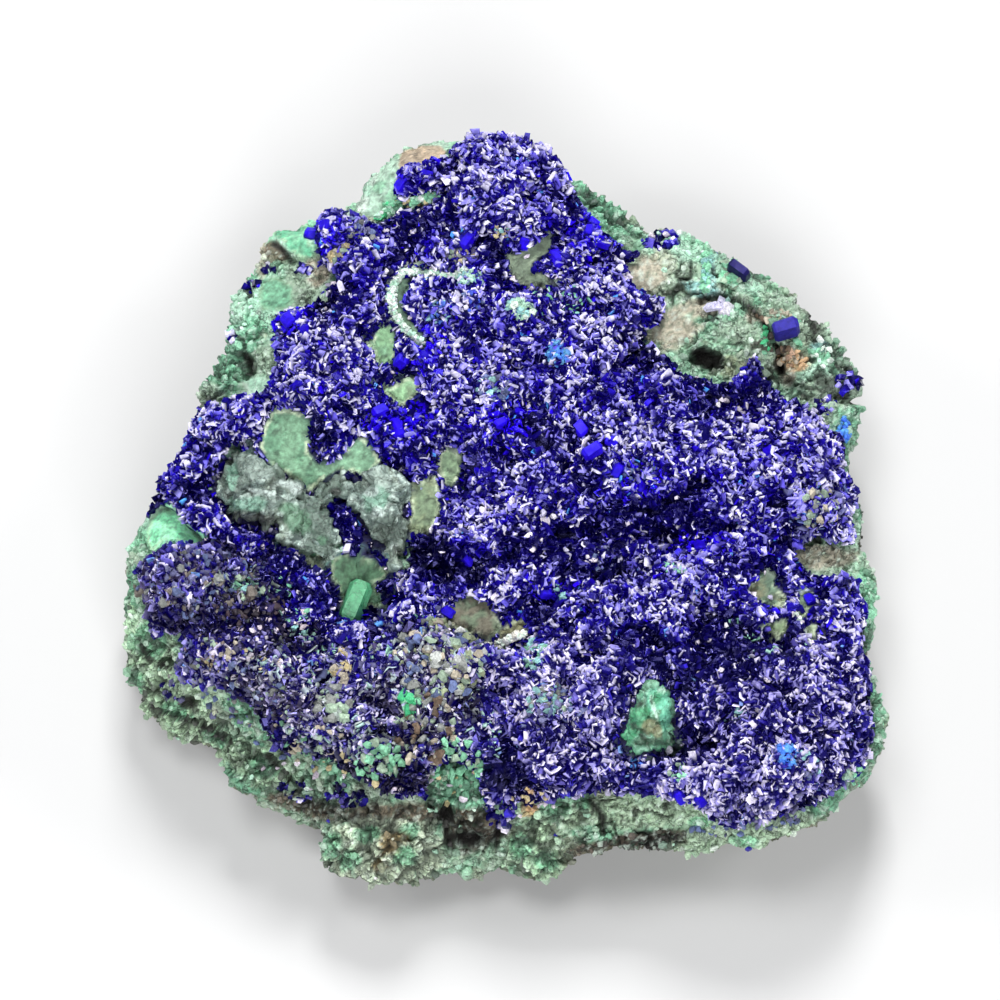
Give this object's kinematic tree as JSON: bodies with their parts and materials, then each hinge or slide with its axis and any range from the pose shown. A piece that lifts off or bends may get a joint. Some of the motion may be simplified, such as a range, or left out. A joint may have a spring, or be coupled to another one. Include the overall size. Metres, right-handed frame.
{
  "type": "azurite mineral specimen",
  "caption": "Loose mineral specimen: a crust of deep blue azurite crystals on a plate of malachite-skinned rock, lying face up on its flat underside.",
  "frame": {"origin": "under the middle of the specimen's box, on the surface that it lies on", "axes": "+Z out of the crystal face, +Y towards the far edge of the face, +X towards its right edge"},
  "size_m": [0.0492, 0.0508, 0.0136],
  "materials": {
    "malachite_rock": "dull, granular, mint to grey-green",
    "azurite": "glassy crystal faces, deep royal blue",
    "grey_rock": "satin, grey-green",
    "malachite": "satin, bright green"
  },
  "bodies": {
    "root": {"matrix": "malachite_rock", "azurite_druse": "azurite", "azurite_island": "azurite", "grey_nodules": "grey_rock", "malachite_lump": "malachite", "malachite_blade": "malachite", "ledge_crystal": "azurite", "rim_crystal": "azurite"}
  },
  "joints": []
}
